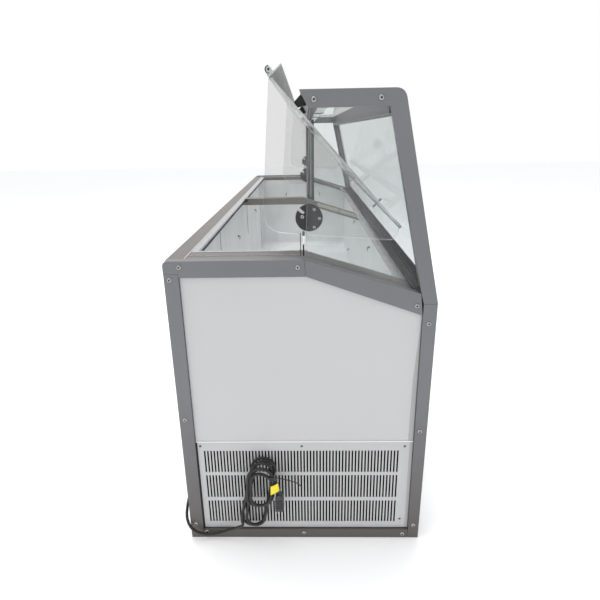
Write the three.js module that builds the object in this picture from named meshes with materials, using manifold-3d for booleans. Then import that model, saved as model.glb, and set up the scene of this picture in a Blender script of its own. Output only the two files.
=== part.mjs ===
// Display chest freezer with a glass front guard and two clear lids that flip up.
// Millimetres, +Z up. X runs along the cabinet, -Y is the customer's side, +Y the operator's.
// The origin is the centre of the cabinet's footprint, on the floor. The near end is at -X.
import * as THREE from 'three'
import { mergeVertices } from 'three/addons/utils/BufferGeometryUtils.js'
import Module from 'manifold-3d'

const wasm = await Module()
wasm.setup()

// ---------------------------------------------------------------- driving dimensions
const LENGTH = 2300
const HALF = LENGTH / 2
const REAR = 348.5                  // operator's face
const FRONT = -348.5                // customer's face, at the kink under the glass
const TOP = 1279
const GAP = 0.3

const FRAME_T = 24                  // end frame bars, thickness along X
const INNER = HALF - FRAME_T        // inner face of an end frame
const BAR = 38                      // width of a frame bar
const RAIL_TOP = 885
const RAIL_LOW = 841
const KINK_Y = -8                   // where the flat rail turns into the sloped one
const SLOPE = 0.3137                // fall of the worktop per mm towards the customer
const SLOPE_END = { y: -304.5, z: 792 }
const SLOPE_FOOT = { y: -312.3, z: 732 }
const KINK_Z = 764                  // height of the kink on the customer's side
const LEAN = 0.2128                 // the guard leans this much per mm of height
const POST_IN = -312.3
const REAR_IN = 310.5
const SILL_Z = 31                   // top of the bottom rail
const CORNER_R = 28

const PANEL_RECESS = 8
const SHEET = 2
const GRILLE_TOP = 342
const SLOT_ROWS = [[237, 312], [146, 226], [54.5, 133.5]]
const SLOT_COUNT = 61
const SLOT_PITCH = 9.3
const SLOT_W = 4.7
const SLOT_MID_Y = 8.4

const TANK = { x: 1035, rear: 300, front: -290, floor: 398, wall: 3 }
const LEDGE_Z = 881
const GLASS_T = 6
const PIVOT = { y: -5.4, z: 988.6 }
const DISC = { y: -22, z: 984.5, r: 34, t: 7 }
const PIN_R = 4
const MID_POST = { half: 12.5, rear: -17.5, front: -55 }

const LID_T = 5
const LID_TIP = { y: 65, z: 1310 }
const LID_LENGTH = 475.5
const LID_UP = new THREE.Vector2(0.6654, 0.7465)
const LID_OUT = new THREE.Vector2(-0.7465, 0.6654)
const LID_END_X = 1107.5
const LID_MID_X = 25

const FAN = { x: -1056, y: 0, z: 185, r: 105, pitch: 0.38 }
const LEAD_R = 4.25

// ---------------------------------------------------------------- helpers
const cabinet = new THREE.Group()
const ALONG_X = new THREE.Matrix4().makeBasis(
  new THREE.Vector3(0, 1, 0), new THREE.Vector3(0, 0, 1), new THREE.Vector3(1, 0, 0))
const ALONG_Y = new THREE.Matrix4().makeBasis(
  new THREE.Vector3(0, 0, 1), new THREE.Vector3(1, 0, 0), new THREE.Vector3(0, 1, 0))

function finish(color, roughness, metalness = 0, opacity = 1) {
  const clear = opacity < 1
  return new THREE.MeshStandardMaterial({ color, roughness, metalness, opacity, transparent: clear })
}
const GREY_BAR = finish(0x7d7f83, 0.42, 0.6)
const WHITE_STEEL = finish(0xdcdde0, 0.38)
const STAINLESS = finish(0x9c948c, 0.34, 0.9)
const LINER_WHITE = finish(0xd2d6d8, 0.45, 0.2)
const FOAM = finish(0xe8d9a0, 0.95)
const CLEAR = finish(0xe4ecec, 0.05, 0, 0.28)
const ALUMINIUM = finish(0xb4b6b8, 0.35, 0.9)
const BLACK_PLASTIC = finish(0x17181a, 0.5)
const BLACK_RUBBER = finish(0x0e0e0f, 0.8)
const DARK_STEEL = finish(0x2a2b2d, 0.5, 0.4)
const LAMP_WHITE = finish(0xf4f4ee, 0.3)
const TAG_YELLOW = finish(0xe8c71c, 0.6)

function add(name, geometry, material, place = null) {
  const mesh = new THREE.Mesh(geometry, material)
  mesh.name = name
  if (place) mesh.position.set(...place)
  cabinet.add(mesh)
  return mesh
}

// A closed outline from [a, b, radius] points, its corners rounded where a radius is given.
function outline(corners) {
  const shape = new THREE.Shape()
  const clockwise = THREE.ShapeUtils.area(corners.map(([x, y]) => ({ x, y }))) < 0
  const points = clockwise ? [...corners].reverse() : corners
  const count = points.length
  points.forEach((point, i) => {
    const here = new THREE.Vector2(point[0], point[1])
    const before = points[(i + count - 1) % count]
    const after = points[(i + 1) % count]
    const back = new THREE.Vector2(before[0], before[1]).sub(here).normalize()
    const ahead = new THREE.Vector2(after[0], after[1]).sub(here).normalize()
    const radius = point[2] || 0
    const reach = radius / Math.tan(back.angleTo(ahead) / 2)
    const start = here.clone().addScaledVector(back, reach)
    const end = here.clone().addScaledVector(ahead, reach)
    if (i === 0) shape.moveTo(start.x, start.y)
    else shape.lineTo(start.x, start.y)
    if (radius > 0) shape.quadraticCurveTo(here.x, here.y, end.x, end.y)
  })
  shape.closePath()
  return shape
}

// A (y, z) outline swept from x0 to x1.
function alongX(points, x0, x1, segments = 6) {
  const shape = Array.isArray(points) ? outline(points) : points
  const options = { depth: x1 - x0, bevelEnabled: false, curveSegments: segments }
  const geometry = new THREE.ExtrudeGeometry(shape, options)
  geometry.applyMatrix4(ALONG_X)
  geometry.translate(x0, 0, 0)
  return geometry
}

// An (x, z) outline swept from y0 to y1.
function alongY(points, y0, y1, segments = 6) {
  const turned = points.map(([x, z, r]) => [z, x, r])
  const options = { depth: y1 - y0, bevelEnabled: false, curveSegments: segments }
  const geometry = new THREE.ExtrudeGeometry(outline(turned), options)
  geometry.applyMatrix4(ALONG_Y)
  geometry.translate(0, y0, 0)
  return geometry
}

function alongZ(points, z0, z1, segments = 6) {
  const options = { depth: z1 - z0, bevelEnabled: false, curveSegments: segments }
  const geometry = new THREE.ExtrudeGeometry(outline(points), options)
  geometry.translate(0, 0, z0)
  return geometry
}

function block(x0, x1, y0, y1, z0, z1) {
  const geometry = new THREE.BoxGeometry(x1 - x0, y1 - y0, z1 - z0)
  geometry.translate((x0 + x1) / 2, (y0 + y1) / 2, (z0 + z1) / 2)
  return geometry
}

function rod(radius, x0, x1, y, z, sides = 20) {
  const geometry = new THREE.CylinderGeometry(radius, radius, x1 - x0, sides)
  geometry.rotateZ(Math.PI / 2)
  geometry.translate((x0 + x1) / 2, y, z)
  return geometry
}

function circleHole(y, z, radius) {
  const hole = new THREE.Path()
  hole.absarc(y, z, radius, 0, Math.PI * 2, true)
  return hole
}

function solid(geometry) {
  const bare = geometry.index ? geometry.toNonIndexed() : geometry.clone()
  bare.deleteAttribute('normal')
  bare.deleteAttribute('uv')
  const merged = mergeVertices(bare, 1e-4)
  const mesh = new wasm.Mesh({
    numProp: 3,
    vertProperties: new Float32Array(merged.attributes.position.array),
    triVerts: new Uint32Array(merged.index.array),
  })
  return new wasm.Manifold(mesh)
}

function surface(manifold) {
  const mesh = manifold.getMesh()
  const geometry = new THREE.BufferGeometry()
  geometry.setAttribute('position', new THREE.BufferAttribute(mesh.vertProperties, 3))
  geometry.setIndex(new THREE.BufferAttribute(mesh.triVerts, 1))
  geometry.computeVertexNormals()
  return geometry
}

function join(...parts) {
  return surface(parts.map(solid).reduce((all, part) => all.add(part)))
}

function cut(body, ...tools) {
  return surface(tools.map(solid).reduce((rest, tool) => rest.subtract(tool), solid(body)))
}

const slopeZ = (y, top) => (y > KINK_Y ? top : top - (KINK_Y - y) * SLOPE)
const leanY = (z, y0) => y0 + (z - KINK_Z) * LEAN

// The two ends are mirror images: side -1 is the near end, +1 the far end.
const ENDS = [{ side: -1, name: 'near' }, { side: 1, name: 'far' }]
function endSpan(side, inside, outside) {
  return side < 0 ? [-outside, -inside] : [inside, outside]
}

// ---------------------------------------------------------------- end frames
function buildEndFrame({ side, name }) {
  const [x0, x1] = endSpan(side, INNER, HALF)
  const bar = (part, points) => add(`${name}_${part}`, alongX(points, x0, x1, 8), GREY_BAR)
  bar('rear_post', [[REAR_IN, 0], [REAR, 0], [REAR, 850.7], [REAR_IN, 850.7]])
  bar('bottom_rail', [[POST_IN + GAP, 0], [REAR_IN - GAP, 0], [REAR_IN - GAP, SILL_Z], [POST_IN + GAP, SILL_Z]])
  bar('flat_rail', [
    [-12, RAIL_LOW], [REAR_IN - GAP, RAIL_LOW], [REAR_IN - GAP, 851], [REAR, 851],
    [REAR, RAIL_TOP, 14], [KINK_Y, RAIL_TOP],
  ])
  bar('sloped_rail', [
    [KINK_Y - GAP, RAIL_TOP - 0.1], [SLOPE_END.y + GAP, SLOPE_END.z], [SLOPE_FOOT.y + 1, SLOPE_FOOT.z + 0.3],
    [-12 - GAP, RAIL_LOW],
  ])
  bar('front_post', [
    [-344.5, 0], [POST_IN, 0], [POST_IN, KINK_Z - GAP], [FRONT + 0.1, KINK_Z - GAP],
  ])
  buildGuardHoop(name, x0, x1)
}

// The slanted post and the top rail of the end frame, bent from one bar.
function buildGuardHoop(name, x0, x1) {
  const outerTop = FRONT + (TOP - KINK_Z) * LEAN
  const innerLow = TOP - BAR - 0.5
  const innerTop = SLOPE_END.y + (innerLow - SLOPE_END.z) * LEAN
  const points = [
    [POST_IN, KINK_Z, 0], [SLOPE_END.y - GAP, SLOPE_END.z, 0], [innerTop, innerLow, 4],
    [-22, innerLow, 0], [-2, TOP, 0], [outerTop, TOP, CORNER_R], [FRONT, KINK_Z, 0],
  ]
  add(`${name}_guard_hoop`, alongX(points, x0, x1, 10), GREY_BAR)
}

// ---------------------------------------------------------------- outer panels
function buildEndPanels() {
  const face = HALF - PANEL_RECESS
  const shelf = RAIL_LOW - 0.6
  const slopeTop = [[REAR_IN - 0.5, shelf], [-12, shelf], [POST_IN + 0.5, SLOPE_FOOT.z - 0.8]]
  const [n0, n1] = endSpan(-1, face - SHEET, face)
  const near = [...slopeTop, [POST_IN + 0.5, GRILLE_TOP + 0.4], [REAR_IN - 0.5, GRILLE_TOP + 0.4]]
  add('near_end_panel', alongX(near, n0, n1), WHITE_STEEL)
  const [f0, f1] = endSpan(1, face - SHEET, face)
  const far = [...slopeTop, [POST_IN + 0.5, SILL_Z + 0.4], [REAR_IN - 0.5, SILL_Z + 0.4]]
  add('far_end_panel', alongX(far, f0, f1), WHITE_STEEL)
}

function buildGrille() {
  const face = HALF - PANEL_RECESS
  const plate = block(-face, -face + SHEET, POST_IN + 0.5, REAR_IN - 0.5, SILL_Z + 0.4, GRILLE_TOP)
  const slots = []
  for (const [low, high] of SLOT_ROWS) {
    for (let i = 0; i < SLOT_COUNT; i += 1) {
      const y = SLOT_MID_Y + (i - (SLOT_COUNT - 1) / 2) * SLOT_PITCH
      slots.push(block(-face - 5, -face + 10, y - SLOT_W / 2, y + SLOT_W / 2, low, high))
    }
  }
  add('near_grille', cut(plate, ...slots), WHITE_STEEL)
}

function buildLongPanels() {
  const x = INNER - 0.4
  add('front_panel', block(-x, x, -344.2, -342.2, 64.4, KINK_Z - 31.6), WHITE_STEEL)
  add('rear_panel', block(-x, x, 336, 338, 64.4, 840), WHITE_STEEL)
  const tray = [
    [-344, 7.5], [346, 7.5], [346, 64], [344, 64], [344, 10], [-342, 10], [-342, 64], [-344, 64],
  ]
  add('base_tray', alongX(tray, -x, x), DARK_STEEL)
  const sill = [[FRONT + 0.3, KINK_Z], [-344.4, KINK_Z - 31], [-316, KINK_Z - 31], [-316, 757], [-320, KINK_Z]]
  add('front_sill', alongX(sill, -x, x), GREY_BAR)
}

// ---------------------------------------------------------------- insulated well
function buildTank() {
  const { x, rear, front, floor, wall } = TANK
  const rim = 875
  const outer = [
    [rear + wall, floor - wall], [rear + wall, rim], [KINK_Y, rim],
    [front - wall, slopeZ(front - wall, rim)], [front - wall, floor - wall],
  ]
  const inner = [[rear, floor], [rear, rim + 50], [front, rim + 50], [front, floor]]
  add('liner_tank', cut(alongX(outer, -x - wall, x + wall), alongX(inner, -x, x)), LINER_WHITE)
}

function buildFoam() {
  const { x, rear, front, floor, wall } = TANK
  const top = 872
  const under = KINK_Z - 31.6
  const outer = [
    [335.6, 357], [335.6, top], [KINK_Y, top], [-315.4, slopeZ(-315.4, top)],
    [-315.4, under], [-341.8, under], [-341.8, 357],
  ]
  const pocket = [
    [rear + wall + 0.4, floor - wall - 0.4], [rear + wall + 0.4, top + 60],
    [front - wall - 0.4, top + 60], [front - wall - 0.4, floor - wall - 0.4],
  ]
  const length = INNER - 0.6
  const hollow = alongX(pocket, -x - wall - 0.4, x + wall + 0.4)
  add('foam_insulation', cut(alongX(outer, -length, length), hollow), FOAM)
}

function buildLedges() {
  const x = INNER - 0.4
  const t = 2
  const lip = 19
  const inside = TANK.rear - GAP
  const lipX = TANK.x - GAP
  const channel = [
    [348.2, 842], [348.2, LEDGE_Z], [inside - t, LEDGE_Z], [inside - t, LEDGE_Z - t],
    [348.2 - t, LEDGE_Z - t], [348.2 - t, 842],
  ]
  const rearLip = block(-lipX, lipX, inside - t, inside, LEDGE_Z - lip, LEDGE_Z - 1)
  add('rear_ledge', join(alongX(channel, -x, x), rearLip), STAINLESS)

  const frontEdge = TANK.front + GAP + t
  for (const { side, name } of ENDS) {
    const y0 = inside - t - GAP
    const y1 = frontEdge + GAP
    const plate = [
      [y0, LEDGE_Z], [KINK_Y, LEDGE_Z], [y1, slopeZ(y1, LEDGE_Z)],
      [y1, slopeZ(y1, LEDGE_Z) - t], [KINK_Y, LEDGE_Z - t], [y0, LEDGE_Z - t],
    ]
    const down = [
      [y0, LEDGE_Z - 1], [KINK_Y, LEDGE_Z - 1], [y1, slopeZ(y1, LEDGE_Z) - 1],
      [y1, slopeZ(y1, LEDGE_Z) - lip], [KINK_Y, LEDGE_Z - lip], [y0, LEDGE_Z - lip],
    ]
    const [p0, p1] = endSpan(side, lipX - t, INNER - GLASS_T - 0.8)
    const [d0, d1] = endSpan(side, lipX - t, lipX)
    add(`${name}_end_ledge`, join(alongX(plate, p0, p1), alongX(down, d0, d1)), STAINLESS)
  }

  const guardSide = -324
  const z = (y) => slopeZ(y, LEDGE_Z)
  const front = [
    [frontEdge, z(frontEdge)], [guardSide, z(guardSide)], [guardSide, z(guardSide) - t],
    [frontEdge, z(frontEdge) - t],
  ]
  const frontLip = block(-lipX, lipX, frontEdge - t, frontEdge, z(frontEdge) - lip, z(frontEdge) - 1)
  const span = INNER - GLASS_T - 0.8
  add('front_ledge', join(alongX(front, -span, span), frontLip), STAINLESS)
  const bead = [[-333.4, KINK_Z + 1], [-324.6, KINK_Z + 1], [-324.6, 778], [-328.9, 785, 1.5]]
  add('front_glass_bead', alongX(bead, -span, span), BLACK_RUBBER)
}

function buildDivider() {
  const rear = TANK.rear - 2.9
  const front = TANK.front + 2.9
  const top = LEDGE_Z - 1
  const depth = 31
  const bar = [
    [rear, top], [KINK_Y, top], [front, slopeZ(front, top)],
    [front, slopeZ(front, top) - depth], [KINK_Y, top - depth], [rear, top - depth],
  ]
  add('mid_divider', alongX(bar, -19, 19), STAINLESS)
  const { half, rear: postRear, front: postFront } = MID_POST
  const post = [
    [postRear, 1240.2], [postRear, slopeZ(postRear, top) + GAP],
    [postFront, slopeZ(postFront, top) + GAP], [postFront, 1240.2],
  ]
  add('mid_post', alongX(post, -half, half), GREY_BAR)
}

// ---------------------------------------------------------------- glass guard
function buildGuard() {
  const x = INNER - 0.4
  const outer = -340.3
  const bottom = KINK_Z + 0.6
  const top = 1225
  const pane = [
    [leanY(bottom, outer), bottom], [leanY(bottom, outer + GLASS_T), bottom],
    [leanY(top, outer + GLASS_T), top], [leanY(top, outer), top],
  ]
  add('front_glass', alongX(pane, -x, x), CLEAR)

  for (const { side, name } of ENDS) {
    const [g0, g1] = endSpan(side, INNER - 0.4 - GLASS_T, INNER - 0.4)
    const frontLine = (z) => SLOPE_END.y - 10 + (z - SLOPE_END.z) * LEAN
    const glass = [
      [-13, 875], [-26, 1250, 2], [frontLine(1250), 1250, 2], [frontLine(781), 781],
    ]
    add(`${name}_end_glass`, alongX(glass, g0, g1), CLEAR)
  }

  const span = INNER - GLASS_T - 0.8
  const crownRear = [[-2.6, TOP - 0.6], [-21.9, TOP - 38], [-44, TOP - 38], [-44, TOP - 0.6]]
  add('crown_rear_rail', alongX(crownRear, -span, span), GREY_BAR)
  const crownFront = [[-209, 1226], [-209, TOP - 0.6], [-239, TOP - 0.6, 12], [-249.5, 1226]]
  add('crown_front_rail', alongX(crownFront, -span, span), ALUMINIUM)
  add('top_glass', block(-span, span, -208.6, -44.4, 1268, 1268 + GLASS_T), CLEAR)
  const lamp = [[-44.4, 1266], [-44.4, 1243, 3], [-72, 1243, 8], [-80, 1266]]
  add('lamp_bar', alongX(lamp, -span + 20, span - 20), LAMP_WHITE)
}

function buildBumper({ side, name }) {
  const [x0, x1] = endSpan(side, 1068, 1098)
  const block4 = [[11.6, 1254.9, 4], [-5.2, 1272.4, 2.5], [-17.6, 1248.4, 0], [1.9, 1244, 3]]
  add(`${name}_lid_bumper`, alongX(block4, x0, x1), BLACK_RUBBER)
}

// A round bracket with an open notch for the lid's pivot, and the pin on which the lid turns.
function discShape() {
  const shape = new THREE.Shape()
  const notch = THREE.MathUtils.degToRad(140)
  const half = 4
  const depth = 17
  const spread = Math.asin(half / DISC.r)
  const reach = new THREE.Vector2(Math.cos(Math.PI - notch), Math.sin(Math.PI - notch))
  const across = new THREE.Vector2(-reach.y, reach.x)
  const at = (r, s) => [DISC.y + reach.x * r + across.x * s, DISC.z + reach.y * r + across.y * s]
  const angle = Math.PI - notch
  shape.absarc(DISC.y, DISC.z, DISC.r, angle + spread, angle - spread + Math.PI * 2, false)
  shape.lineTo(...at(depth, -half))
  shape.lineTo(...at(depth, half))
  shape.closePath()
  return shape
}

function buildPivots() {
  const wall = INNER - 0.4 - GLASS_T - GAP
  for (const { side, name } of ENDS) {
    const [d0, d1] = endSpan(side, wall - DISC.t, wall)
    const [p0, p1] = endSpan(side, LID_END_X - LID_T - 1.5, wall - 1)
    const disc = alongX(discShape(), d0, d1, 16)
    add(`${name}_pivot_disc`, join(disc, rod(PIN_R, p0, p1, PIVOT.y, PIVOT.z)), BLACK_PLASTIC)
  }
  const { half } = MID_POST
  const disc = alongX(discShape(), half + 0.4, half + 0.4 + DISC.t, 16)
  const pin = rod(PIN_R, -LID_MID_X - LID_T - 1.5, LID_MID_X + LID_T + 1.5, PIVOT.y, PIVOT.z)
  add('mid_pivot_disc', join(disc, pin), BLACK_PLASTIC)
}

// ---------------------------------------------------------------- lids, drawn standing open
const onLid = (along, out) => [
  LID_TIP.y + LID_UP.x * along + LID_OUT.x * out,
  LID_TIP.z + LID_UP.y * along + LID_OUT.y * out,
]

function wingShape() {
  const top = onLid(-0.5, 0)
  const foot = onLid(-LID_LENGTH + 4, 0)
  const shape = outline([
    [...top, 0], [68.5, 1306, 2], [96.5, 948.5, 58], [-243.5, 921.5, 24], [...foot, 0],
  ])
  shape.holes.push(circleHole(PIVOT.y, PIVOT.z, PIN_R + 0.6))
  return shape
}

function buildLid({ side, name }) {
  const [x0, x1] = endSpan(side, LID_MID_X, LID_END_X)
  const half = LID_T / 2
  const sheet = [
    onLid(0, -half), onLid(0, half), onLid(-LID_LENGTH, half), onLid(-LID_LENGTH, -half),
  ]
  const [a0, a1] = endSpan(side, LID_END_X - LID_T, LID_END_X)
  const [b0, b1] = endSpan(side, LID_MID_X, LID_MID_X + LID_T)
  const shell = join(
    alongX(sheet, x0, x1), alongX(wingShape(), a0, a1, 10), alongX(wingShape(), b0, b1, 10))
  add(`${name}_lid_shell`, shell, CLEAR)
  const grip = [
    [...onLid(0.4, -2.8), 0], [...onLid(7, -2.8), 2], [...onLid(20.8, 3.2), 6], [...onLid(20.8, 15), 5],
    [...onLid(10, 15), 4], [...onLid(4, 12), 0], [...onLid(4, 38), 0], [...onLid(0.4, 38), 0],
  ]
  add(`${name}_lid_handle`, alongX(grip, x0, x1), ALUMINIUM)
}

// ---------------------------------------------------------------- machinery
// Upright fins on four passes of tube.
function buildCondenser() {
  const x = -1098
  const fins = 25
  const pitch = 16
  const thickness = 1.2
  const parts = []
  for (let i = 0; i < fins; i += 1) {
    const y = (i - (fins - 1) / 2) * pitch
    parts.push(block(x - 20, x + 20, y - thickness / 2, y + thickness / 2, 40, 330))
  }
  for (const z of [78, 149, 221, 292]) {
    const pass = new THREE.CylinderGeometry(6, 6, 400, 8)
    pass.translate(x, 0, z)
    parts.push(pass)
  }
  add('condenser', join(...parts), DARK_STEEL)
}

function buildFan() {
  const plate = outline([[-190, 30], [190, 30], [190, 340], [-190, 340]])
  plate.holes.push(circleHole(FAN.y, FAN.z, FAN.r + 7))
  add('fan_shroud', alongX(plate, -1076, -1073, 12), DARK_STEEL)

  const parts = [rod(22, FAN.x - 8, FAN.x + 8, 0, 0, 24), rod(4, FAN.x, FAN.x + 23.6, 0, 0, 16)]
  const blades = 5
  for (let i = 0; i < blades; i += 1) {
    const blade = alongX([[-26, 15], [22, 15], [38, FAN.r - 8, 14], [-34, FAN.r - 4, 20]], -1.2, 1.2)
    blade.rotateZ(FAN.pitch)
    blade.translate(FAN.x, 0, 0)
    blade.rotateX((i / blades) * Math.PI * 2)
    parts.push(blade)
  }
  add('fan_blade', join(...parts), ALUMINIUM, [0, FAN.y, FAN.z])

  const motor = rod(34, FAN.x + 24, FAN.x + 78, FAN.y, FAN.z, 24)
  const foot = block(FAN.x + 40, FAN.x + 60, -20, 20, 10.4, FAN.z - 10)
  const sole = block(FAN.x + 26, FAN.x + 76, -40, 40, 10.4, 14)
  add('fan_motor', join(motor, foot, sole), DARK_STEEL)
}

// The pot is a thick shell, open through its sole.
function buildCompressor() {
  const turnedAt = (profile) => {
    const turned = new THREE.LatheGeometry(profile.map(([r, z]) => new THREE.Vector2(r, z)), 28)
    turned.rotateX(Math.PI / 2)
    turned.translate(-820, 20, 22)
    return turned
  }
  const pot = turnedAt([
    [0, 0], [78, 0], [90, 20], [92, 88], [96, 92], [96, 100], [90, 104], [84, 168], [58, 200], [0, 208],
  ])
  const hollow = turnedAt([[0, -20], [50, -20], [50, 12], [72, 18], [72, 150], [50, 184], [0, 190]])
  const sole = block(-930, -710, -70, 110, 10.4, 26)
  const pipe = new THREE.CylinderGeometry(9, 9, 100, 12)
  pipe.translate(-820, 125, 66)
  add('compressor', cut(join(pot, sole, pipe), hollow), DARK_STEEL)
}

// ---------------------------------------------------------------- controls, on the operator's side
function buildControls() {
  const plate = [[-1010, 150, 8], [-870, 150, 8], [-870, 230, 8], [-1010, 230, 8]]
  const rockerHole = block(-986.5, -953.5, 330, 345, 177, 203)
  add('control_plate', cut(alongY(plate, 338.3, 341.3), rockerHole), STAINLESS)

  const face = [[-11, 0], [-11, 4.4], [0, 3.2], [11, 4.4], [11, 0]]
  const rocker = alongX(face.map(([z, y]) => [y, z]).reverse(), -15, 15)
  rocker.rotateX(THREE.MathUtils.degToRad(-6))
  add('power_rocker', rocker, BLACK_PLASTIC, [-970, 340.6, 190])

  const knob = [[0, 0], [16, 0], [16, 2], [13.5, 5.6], [12.5, 6.5], [0, 6.5]]
  const turned = new THREE.LatheGeometry(knob.map(([r, z]) => new THREE.Vector2(r, z)), 28)
  add('thermostat_knob', turned, BLACK_PLASTIC, [-905, 341.7, 190])

  const plug = [[0, 0], [18, 0], [18, 3], [11, 4], [11, 10], [0, 10]]
  const drain = new THREE.LatheGeometry(plug.map(([r, z]) => new THREE.Vector2(r, z)), 20)
  drain.rotateX(Math.PI / 2)
  add('drain_plug', drain, BLACK_RUBBER, [-860, 0, TANK.floor + GAP])
}

// ---------------------------------------------------------------- mains lead
// The stretch that isn't wound: down the operator's side, round the post and up to the hank.
const LEAD_ROUTE = [
  [-1076, 345.2, 184.6], [-1077, 345.4, 172], [-1080, 347.5, 156], [-1087, 351.5, 140],
  [-1098, 355.8, 124], [-1113, 359.2, 108], [-1129, 360.8, 92], [-1145, 359.2, 76],
  [-1156, 352.5, 60], [-1161.5, 341, 45], [-1162, 326, 32.5], [-1160, 309, 24.5],
  [-1158.5, 291, 21], [-1158, 272, 22.5], [-1158.5, 253, 29], [-1160.5, 235, 38.2],
  [-1164.5, 217, 48.2], [-1169.5, 199, 59.8], [-1173.5, 182.4, 70.8],
]
const LEAD_STEPS = 56

function ring(radius, sides) {
  const shape = new THREE.Shape()
  for (let i = 0; i < sides; i += 1) {
    const a = (i / sides) * Math.PI * 2
    if (i === 0) shape.moveTo(radius, 0)
    else shape.lineTo(radius * Math.cos(a), radius * Math.sin(a))
  }
  shape.closePath()
  return shape
}

function tube(points, radius, sides, steps) {
  const path = new THREE.CatmullRomCurve3(points.map((p) => new THREE.Vector3(...p)), false, 'centripetal')
  return new THREE.ExtrudeGeometry(ring(radius, sides), { steps, extrudePath: path, bevelEnabled: false })
}

function capsule(y, z, halfWidth, halfHeight, turn, x0, x1) {
  const straight = halfHeight - halfWidth
  const shape = new THREE.Shape()
  shape.absarc(0, straight, halfWidth, 0, Math.PI, false)
  shape.absarc(0, -straight, halfWidth, Math.PI, Math.PI * 2, false)
  shape.closePath()
  const geometry = alongX(shape, x0, x1, 8)
  geometry.rotateX(turn)
  geometry.translate(0, y, z)
  return geometry
}

function buildLead() {
  const sleeve = new THREE.CylinderGeometry(10, 5.6, 34, 20)
  sleeve.rotateX(Math.PI / 2)
  sleeve.translate(-1076, 345.2, 202)
  const base = block(-1090, -1062, 338.3, 348, 216, 236)
  add('cord_gland', join(cut(sleeve, block(-1100, -1050, 320, 338.3, 180, 230)), base), BLACK_PLASTIC)
  add('mains_lead', tube(LEAD_ROUTE, LEAD_R, 10, LEAD_STEPS), BLACK_RUBBER)

  const round = capsule(126, 216, 41, 74, 0.06, -1190, -1160)
  const long = capsule(133, 185, 34.25, 130.5, 0.21, -1178, -1151)
  add('lead_hank', join(round, long), BLACK_RUBBER)

  const body = [
    [58.5, 141, 4], [84.5, 141, 4], [84.5, 178, 4], [78, 200, 5], [65, 200, 5], [58.5, 178, 4],
  ]
  const neck = [[66.5, 199, 0], [76.5, 199, 0], [81.5, 237.5, 0], [72.5, 238.5, 0]]
  add('mains_plug', join(alongX(body, -1194, -1172), alongX(neck, -1188.5, -1178)), BLACK_PLASTIC)
  const tag = [[95.9, 198.8], [70.3, 215.4], [73.7, 241], [94.8, 229.1]]
  add('lead_tag', alongX(tag, -1192.4, -1191.2), TAG_YELLOW)
  const tail = [
    [-1170, 78, 262], [-1167, 69, 252.5], [-1162, 57, 242.5], [-1158.5, 40, 229.5], [-1156.5, 24, 216.8],
    [-1155.5, 9.1, 198],
  ]
  add('hank_tie', tube(tail, 1.6, 8, 14), BLACK_PLASTIC)
}

// ---------------------------------------------------------------- assembly
ENDS.forEach(buildEndFrame)
buildEndPanels()
buildGrille()
buildLongPanels()
buildTank()
buildFoam()
buildLedges()
buildDivider()
buildGuard()
ENDS.forEach(buildBumper)
buildPivots()
ENDS.forEach(buildLid)
buildCondenser()
buildFan()
buildCompressor()
buildControls()
buildLead()

export default cabinet
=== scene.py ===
"""Looks of a display chest freezer with a glass guard and two clear lids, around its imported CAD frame.

Metres, +Z up. X runs along the cabinet, -Y is the customer's side and +Y the operator's.
"""

import math

import bmesh
import bpy
from mathutils import Matrix, Vector


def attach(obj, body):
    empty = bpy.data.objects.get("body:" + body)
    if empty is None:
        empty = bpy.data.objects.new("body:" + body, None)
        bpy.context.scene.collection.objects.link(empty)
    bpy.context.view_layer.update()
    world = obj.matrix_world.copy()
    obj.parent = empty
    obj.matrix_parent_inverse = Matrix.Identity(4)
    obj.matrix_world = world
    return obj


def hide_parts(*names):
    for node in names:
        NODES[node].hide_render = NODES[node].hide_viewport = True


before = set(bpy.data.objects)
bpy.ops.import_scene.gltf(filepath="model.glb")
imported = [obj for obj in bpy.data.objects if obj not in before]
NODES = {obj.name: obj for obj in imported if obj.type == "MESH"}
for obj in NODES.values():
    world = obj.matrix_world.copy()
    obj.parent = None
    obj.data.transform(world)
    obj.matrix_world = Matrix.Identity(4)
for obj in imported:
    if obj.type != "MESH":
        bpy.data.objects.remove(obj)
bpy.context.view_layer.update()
MM = 0.001

SHARP_ANGLE = math.radians(32)
ENDS = (("near", -1), ("far", 1))


def linked(name, data):
    """A new object in the scene that holds data."""
    made = bpy.data.objects.new(name, data)
    bpy.context.scene.collection.objects.link(made)
    return made


def placed(side, a, b):
    """The stretch from a to b along X on one side of the middle, lower end first."""
    return sorted((side * a, side * b))


# ---- Camera
CAMERA_AT = (-2.236, -0.0149, 1.1907)
YAW, PITCH, ROLL = 0.02421, 0.30753, -0.01871


def make_camera():
    """The camera at the photographed angle, its frame built from yaw, pitch and roll."""
    forward = Vector((
        math.cos(PITCH) * math.cos(YAW),
        math.cos(PITCH) * math.sin(YAW),
        -math.sin(PITCH),
    ))
    level = Vector((math.sin(YAW), -math.cos(YAW), 0))
    upright = level.cross(forward)
    right = math.cos(ROLL) * level + math.sin(ROLL) * upright
    up = right.cross(forward)
    data = bpy.data.cameras.new("camera")
    data.sensor_width = 36
    data.lens = 27.24
    data.shift_x = 0.006
    data.shift_y = -0.0414
    data.clip_start = 0.02
    data.clip_end = 60
    camera = linked("camera", data)
    camera.matrix_world = Matrix((
        (right.x, up.x, -forward.x, CAMERA_AT[0]),
        (right.y, up.y, -forward.y, CAMERA_AT[1]),
        (right.z, up.z, -forward.z, CAMERA_AT[2]),
        (0, 0, 0, 1),
    ))
    bpy.context.scene.camera = camera


make_camera()


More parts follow.
